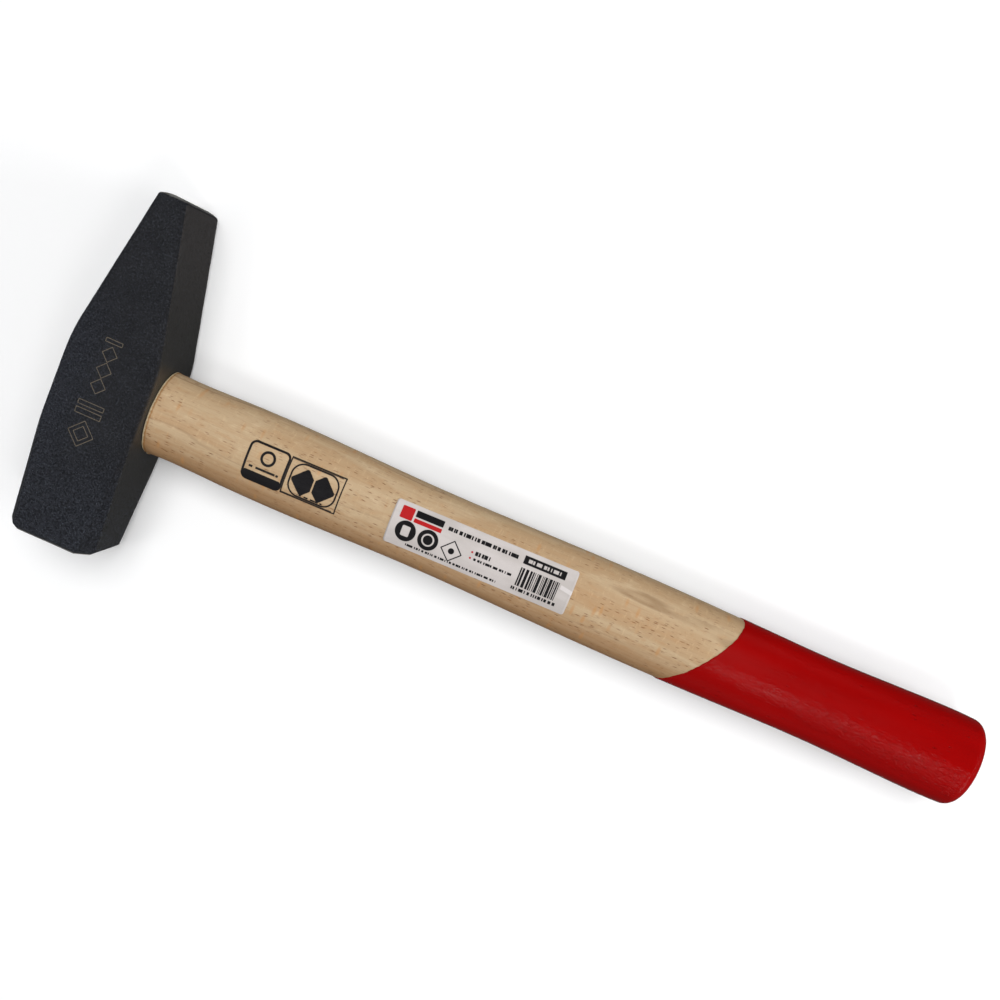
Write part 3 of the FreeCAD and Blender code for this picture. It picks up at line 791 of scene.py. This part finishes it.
class Skin:
    """The handle's oval at any place along it, measured on the CAD handle."""

    def __init__(self, node):
        mesh = node.data
        corners = [vertex.co.copy() for vertex in mesh.vertices]
        faces = [tuple(face.vertices) for face in mesh.polygons]
        tree = BVHTree.FromPolygons(corners, faces)
        raw = [self.measure(tree, OVAL_START + index) for index in range(OVAL_COUNT)]
        self.ovals = [self.average(raw, index) for index in range(OVAL_COUNT)]

    @staticmethod
    def measure(tree, x):
        """Half height along Y and half depth along Z."""
        side = tree.ray_cast(Vector((x, FAR, AXIS_Z)) * MM, Vector((0, -1, 0)))[3] / MM
        top = tree.ray_cast(Vector((x, 0, AXIS_Z + FAR)) * MM, Vector((0, 0, -1)))[3] / MM
        return FAR - side, FAR - top

    @staticmethod
    def average(raw, index):
        """The oval averaged with its neighbours, fewer of them near the two ends."""
        reach = min(index, len(raw) - 1 - index, OVAL_SPREAD)
        near = raw[index - reach:index + reach + 1]
        return tuple(sum(oval[axis] for oval in near) / len(near) for axis in (0, 1))

    def at(self, x):
        """Half height and half depth at x."""
        run = min(max(x - OVAL_START, 0.0), OVAL_COUNT - 1.001)
        index = int(run)
        part = run - index
        first, second = self.ovals[index], self.ovals[index + 1]
        return tuple(first[axis] * (1 - part) + second[axis] * part for axis in (0, 1))


def butt_stations(skin, coat=0.0, steps=8):
    """The rounded butt: a quarter circle in from the last full oval, then its nearly flat end."""
    half_y, half_z = skin.at(BUTT_START)
    radius = BUTT_ROUND + coat
    rows = []
    for step in range(steps + 1):
        angle = math.pi / 2 * step / steps
        inset = BUTT_ROUND - radius * math.cos(angle)
        x = BUTT_START + radius * math.sin(angle)
        rows.append((x, half_y - inset, half_z - inset))
    end_x, end_y, end_z = rows[-1]
    for share in (0.8, 0.55, 0.3, 0.12):
        rows.append((end_x + BUTT_BULGE * (1 - share), end_y * share, end_z * share))
    return rows


def on_oval(work, x, half_y, half_z, angle):
    """A new point on an oval round the centre line."""
    return work.verts.new((
        x * MM,
        half_y * math.cos(angle) * MM,
        (AXIS_Z + half_z * math.sin(angle)) * MM,
    ))


def add_ring(work, x, half_y, half_z, wave=None):
    """One ring of points. The wave gives how far each stands off the oval."""
    ring = []
    for angle in ANGLES:
        out = wave(angle, x) if wave else 0.0
        ring.append(on_oval(work, x, half_y + out, half_z + out, angle))
    return ring


def skin_rings(work, rings):
    """Faces between each ring and the next."""
    for first, second in zip(rings, rings[1:]):
        for index in range(AROUND):
            after = (index + 1) % AROUND
            work.faces.new((first[index], first[after], second[after], second[index]))


def close_ring(work, ring, x):
    """Closes a tube's end with faces to a point on the centre line."""
    centre = work.verts.new((x * MM, 0.0, AXIS_Z * MM))
    for index in range(AROUND):
        work.faces.new((ring[index], ring[(index + 1) % AROUND], centre))


def torn(angle, x):
    """The small burr left on the shoulder's rim, and the rim's slight unevenness."""
    rough = TORN_HEIGHT * noise.noise(Vector((math.cos(angle) * 4, math.sin(angle) * 4, x * 0.5)))
    off = abs((math.degrees(angle) - BURR_AT + 180) % 360 - 180)
    burr = max(0.0, 1 - off / BURR_SPREAD) * max(0.0, 1 - (x - SHOULDER_X) / BURR_LENGTH)
    return rough + BURR_HEIGHT * burr


def tenon(node):
    """A work mesh of the CAD tenon with its slot, closed just inside the eye."""
    work = bmesh.new()
    work.from_mesh(node.data)
    bmesh.ops.remove_doubles(work, verts=work.verts, dist=WELD)
    whole = list(work.verts) + list(work.edges) + list(work.faces)
    bmesh.ops.bisect_plane(work, geom=whole, plane_co=(TENON_CUT_X * MM, 0, 0),
                           plane_no=(1, 0, 0), clear_outer=True)
    bmesh.ops.holes_fill(work, edges=[edge for edge in work.edges if edge.is_boundary])
    for vertex in work.verts:
        if vertex.co.x < TENON_END_X * MM:
            vertex.co.x += TENON_SUNK * MM
    return work


def make_handle(node, skin, material):
    """The wooden handle: the tenon, and a smooth turned shaft that starts inside the eye."""
    work = tenon(node)
    first_y, first_z = skin.at(SHOULDER_X)
    rings = [add_ring(work, TENON_CUT_X, *EYE_HALF)]
    rings.append(add_ring(work, SHOULDER_X, *EYE_HALF))
    for share in (0.0, 0.35, 0.7, 1.0):
        x = SHOULDER_X + SHOULDER_CHAMFER * (1 - math.cos(share * math.pi / 2)) + 0.02 * share
        inset = SHOULDER_CHAMFER * (1 - math.sin(share * math.pi / 2))
        rings.append(add_ring(work, x, first_y - inset, first_z - inset, torn))
    x = SHOULDER_X + SHOULDER_CHAMFER + FINE_STEP
    while x < BUTT_START - 0.5:
        wave = torn if x < SHOULDER_X + TORN_REACH else None
        rings.append(add_ring(work, x, *skin.at(x), wave))
        x += FINE_STEP if x < SHOULDER_X + FINE_REACH else SHAFT_STEP
    for place, half_y, half_z in butt_stations(skin):
        rings.append(add_ring(work, place, half_y, half_z))
    skin_rings(work, rings)
    close_ring(work, rings[0], TENON_CUT_X)
    close_ring(work, rings[-1], BUTT_X + BUTT_BULGE)
    return as_piece("handle_wood", mesh_from("handle_wood", work), material)


def dip_start(skin, angle):
    """Where the lacquer's edge lies at this angle: a slanted plane, slightly wavy."""
    x = DIP_X
    for _ in range(12):
        half_y, half_z = skin.at(x)
        y = half_y * math.cos(angle)
        z = half_z * math.sin(angle)
        x = DIP_X + DIP_BY_Y * y + DIP_BY_Z * z
    around = Vector((math.cos(angle), math.sin(angle), 0.0))
    wave = noise.noise(around * 3.1) + 0.6 * noise.noise(around * 11.0)
    nick = noise.noise(around * 27.0) ** 2 * 1.6
    return x + DIP_WAVE * (wave * 0.6 + nick)


def make_lacquer(skin, material):
    """The dipped coat: a thin closed shell with a rounded lip along its slanted edge."""
    work = bmesh.new()
    starts = [dip_start(skin, angle) for angle in ANGLES]

    def ring_at(places, coat):
        ring = []
        for x, angle in zip(places, ANGLES):
            half_y, half_z = skin.at(x)
            ring.append(on_oval(work, x, half_y + coat, half_z + coat, angle))
        return ring

    def lip_ring(ahead, coat):
        return ring_at([start + ahead for start in starts], coat)

    def shaft_ring(step, coat):
        """A ring between the lip and the butt's rounding."""
        share = step / COAT_RINGS
        places = [(start + LIP_LENGTH) * (1 - share) + BUTT_START * share for start in starts]
        return ring_at(places, coat)

    rings = [add_ring(work, *station) for station in reversed(butt_stations(skin, INNER_COAT))]
    rings += [shaft_ring(step, INNER_COAT) for step in range(COAT_RINGS - 1, -1, -1)]
    rings += [lip_ring(ahead, coat) for ahead, coat in LIP]
    rings += [shaft_ring(step, COAT) for step in range(1, COAT_RINGS)]
    rings += [add_ring(work, *station) for station in butt_stations(skin, COAT)]
    skin_rings(work, rings)
    close_ring(work, rings[0], BUTT_X + INNER_COAT + BUTT_BULGE)
    close_ring(work, rings[-1], BUTT_X + COAT + BUTT_BULGE)
    return as_piece("grip_lacquer_coat", mesh_from("grip_lacquer_coat", work), material)


def label_rows(flat_steps=8, corner_steps=5):
    """Rows across the label with the half length of each, so that the corners are round."""
    flat = LABEL_WIDTH / 2 - LABEL_CORNER
    turns = [math.pi / 2 * step / corner_steps for step in range(1, corner_steps + 1)]
    corner = [flat + LABEL_CORNER * math.sin(turn) for turn in turns]
    inner = [flat * (step / flat_steps) for step in range(-flat_steps, flat_steps + 1)]
    pairs = []
    for v in [-place for place in reversed(corner)] + inner + corner:
        past = max(0.0, abs(v) - flat)
        short = LABEL_CORNER - math.sqrt(max(0.0, LABEL_CORNER ** 2 - past ** 2))
        pairs.append((v, LABEL_LENGTH / 2 - short))
    return pairs


def on_label(skin, u, v, share):
    """A place on the label's outer side, share being -1 and 1 at its two ends."""
    turn = math.radians(LABEL_TURN)
    x = LABEL_AT[0] + u * math.cos(turn) - v * math.sin(turn)
    y = LABEL_AT[1] + u * math.sin(turn) + v * math.cos(turn)
    half_y, half_z = skin.at(x)
    lift = LABEL_LIFT * max(0.0, abs(share) - (1 - LIFTED_PART)) / LIFTED_PART
    ripple = LABEL_RIPPLE * noise.noise(Vector((x * 0.15, y * 0.3, 0.0)))
    high = half_z * math.sqrt(1 - (y / half_y) ** 2)
    outward = Vector((0.0, y / half_y ** 2, high / half_z ** 2)).normalized()
    return Vector((x, y, AXIS_Z + high)) + outward * (LABEL_THICK + lift + ripple)


def make_label(skin, material):
    """The paper label, laid on the handle's curve, with its ends barely lifting."""
    work = bmesh.new()
    grid = []
    for v, reach in label_rows():
        line = []
        for column in range(LABEL_COLUMNS + 1):
            share = 2.0 * column / LABEL_COLUMNS - 1.0
            line.append(work.verts.new(on_label(skin, share * reach, v, share) * MM))
        grid.append(line)
    for first, second in zip(grid, grid[1:]):
        for column in range(LABEL_COLUMNS):
            work.faces.new((first[column], first[column + 1], second[column + 1], second[column]))
    piece = as_piece("label_sheet", mesh_from("label_sheet", work), material)
    thick = piece.modifiers.new("paper_thickness", "SOLIDIFY")
    thick.thickness = (LABEL_THICK + LABEL_SUNK) * MM
    thick.offset = -1.0
    return piece


def forged_head(node, material):
    """The CAD head remeshed evenly, with eased edges and faces left uneven by the forging."""
    piece = as_piece("hammer_head_forged", node.data.copy(), material)
    weld = piece.modifiers.new("weld", "WELD")
    weld.merge_threshold = WELD
    even = piece.modifiers.new("even_skin", "REMESH")
    even.mode = "SHARP"
    even.octree_depth = 8
    even.scale = 0.9
    even.sharpness = 1.0
    even.use_remove_disconnected = False
    even.use_smooth_shade = True
    ease = piece.modifiers.new("eased_edges", "SMOOTH")
    ease.factor = 0.5
    ease.iterations = 1
    clouds = bpy.data.textures.new("forging", "CLOUDS")
    clouds.noise_scale = 7.0 * MM
    clouds.noise_depth = 2
    uneven = piece.modifiers.new("forging", "DISPLACE")
    uneven.texture = clouds
    uneven.texture_coords = "LOCAL"
    uneven.strength = 0.12 * MM
    uneven.mid_level = 0.5
    return piece


def dress_wedge(node, material):
    """A CAD wedge with its material and barely broken edges."""
    node.data.materials.clear()
    node.data.materials.append(material)
    loaded_normals = node.data.attributes.get("custom_normal")
    if loaded_normals:
        node.data.attributes.remove(loaded_normals)
    weld = node.modifiers.new("weld", "WELD")
    weld.merge_threshold = WELD
    broken = node.modifiers.new("broken_edges", "BEVEL")
    broken.width = 0.10 * MM
    broken.segments = 2
    broken.limit_method = "ANGLE"
    broken.angle_limit = math.radians(40)


# The studio ----------------------------------------------------------------------------------

def make_floor():
    """A pale floor just under the hammer, which isn't seen in the paint's gloss."""
    work = bmesh.new()
    reach, below = 3.0, -0.0001
    signs = ((-1, -1), (1, -1), (1, 1), (-1, 1))
    work.faces.new([work.verts.new((x * reach, y * reach, below)) for x, y in signs])
    floor = as_piece("studio_floor", mesh_from("studio_floor", work), floor_material())
    floor.visible_diffuse = False
    floor.visible_glossy = False


def make_backdrop():
    """A wide pale dome behind everything, which lights nothing."""
    work = bmesh.new()
    bmesh.ops.create_icosphere(work, subdivisions=4, radius=6.0)
    net = Net("studio_backdrop")
    cloud = net.noise(net.point(), 0.0004, detail=1.0)
    pale = net.blend(cloud, (0.86, 0.86, 0.86, 1.0), (0.90, 0.90, 0.90, 1.0))
    material = net.finish(Base_Color=(0.0, 0.0, 0.0, 1.0), Emission_Color=pale,
                          Emission_Strength=1.0, Specular_IOR_Level=0.0)
    dome = as_piece("studio_backdrop", mesh_from("studio_backdrop", work), material)
    dome.visible_diffuse = False
    dome.visible_glossy = False
    dome.visible_shadow = False


def make_light(name, place, aim, size, power, mirrored=True):
    """An area light of this size in metres and power in watts, seen in the gloss if mirrored."""
    lamp = bpy.data.lights.new(name, "AREA")
    lamp.shape = "RECTANGLE"
    lamp.size, lamp.size_y = size
    lamp.energy = power
    light = bpy.data.objects.new(name, lamp)
    bpy.context.scene.collection.objects.link(light)
    light.location = place
    light.visible_glossy = mirrored
    light.rotation_mode = "QUATERNION"
    light.rotation_quaternion = (Vector(aim) - Vector(place)).to_track_quat("-Z", "Y")


def make_world():
    """A pale room: brighter overhead, dim below the floor.

    Inputs 0, 6 and 7 are the Mix node's factor and its two colours.
    """
    world = bpy.data.worlds.new("studio_world")
    world.use_nodes = True
    bpy.context.scene.world = world
    nodes, links = world.node_tree.nodes, world.node_tree.links
    direction = nodes.new("ShaderNodeTexCoord")
    parts = nodes.new("ShaderNodeSeparateXYZ")
    fade = nodes.new("ShaderNodeMapRange")
    tint = nodes.new("ShaderNodeMix")
    tint.data_type = "RGBA"
    links.new(direction.outputs["Generated"], parts.inputs[0])
    links.new(parts.outputs["Z"], fade.inputs["Value"])
    fade.inputs["From Min"].default_value = -0.15
    fade.inputs["From Max"].default_value = 0.25
    links.new(fade.outputs[0], tint.inputs[0])
    tint.inputs[6].default_value = (0.45, 0.45, 0.45, 1.0)
    tint.inputs[7].default_value = (0.95, 0.97, 1.0, 1.0)
    background = nodes["Background"]
    links.new(tint.outputs[2], background.inputs["Color"])
    background.inputs["Strength"].default_value = 0.18


def make_camera():
    """The camera, which looks down on the hammer almost from straight above."""
    data = bpy.data.cameras.new("camera")
    data.lens = CAMERA_LENS
    data.sensor_width = SENSOR
    data.clip_start = 0.01
    camera = bpy.data.objects.new("camera", data)
    bpy.context.scene.collection.objects.link(camera)
    forward = Vector(CAMERA_FORWARD).normalized()
    right = Vector(CAMERA_RIGHT).normalized()
    up = right.cross(forward)
    turn = Matrix((right, up, -forward)).transposed().to_4x4()
    camera.matrix_world = Matrix.Translation(CAMERA_AT) @ turn
    bpy.context.scene.camera = camera


def make_studio():
    """Floor, backdrop, room and soft lights, some of which the gloss doesn't show."""
    make_floor()
    make_backdrop()
    make_world()
    middle = (0.15, 0.0, 0.0)
    grip, butt, head = (0.29, 0.0, 0.03), (0.33, 0.0, 0.02), (0.0, 0.0, 0.03)
    make_light("overhead", (0.10, 0.45, 1.45), middle, (1.2, 1.0), 16.4, mirrored=False)
    make_light("back_fill", (0.20, 1.30, 0.45), middle, (1.0, 0.5), 3.8, mirrored=False)
    make_light("front_fill", (0.20, -1.20, 0.35), middle, (1.0, 0.4), 1.8, mirrored=False)
    make_light("front_softbox", (0.78, -0.47, 1.12), grip, (0.26, 0.34), 2.3)
    make_light("side_softbox", (1.35, 0.10, 0.45), middle, (0.6, 0.4), 7.0, mirrored=False)
    make_light("butt_softbox", (1.20, -0.55, 0.45), butt, (0.25, 0.25), 0.9)
    make_light("head_softbox", (-0.55, -0.45, 1.20), head, (0.32, 0.32), 1.7)
    bpy.context.scene.view_settings.view_transform = "Standard"


def main():
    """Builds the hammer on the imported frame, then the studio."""
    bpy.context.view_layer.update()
    nodes = frame["nodes"]
    group = mark_group()
    skin = Skin(nodes["handle"])

    head = forged_head(nodes["hammer_head"], black_steel(group))
    handle = make_handle(nodes["handle"], skin, beech(group))
    coat = make_lacquer(skin, red_lacquer())
    label = make_label(skin, label_paper(group))
    dress_wedge(nodes["wooden_wedge"], wedge_wood())
    dress_wedge(nodes["steel_wedge"], wedge_steel())

    replaced = (
        (head, "hammer_head", "black_steel"),
        (handle, "handle", "beech"),
        (coat, "grip_lacquer", "red_lacquer"),
        (label, "product_label", "label_paper"),
    )
    for piece, node, slot in replaced:
        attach(piece, "root")
        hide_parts(node)

    make_camera()
    make_studio()


main()
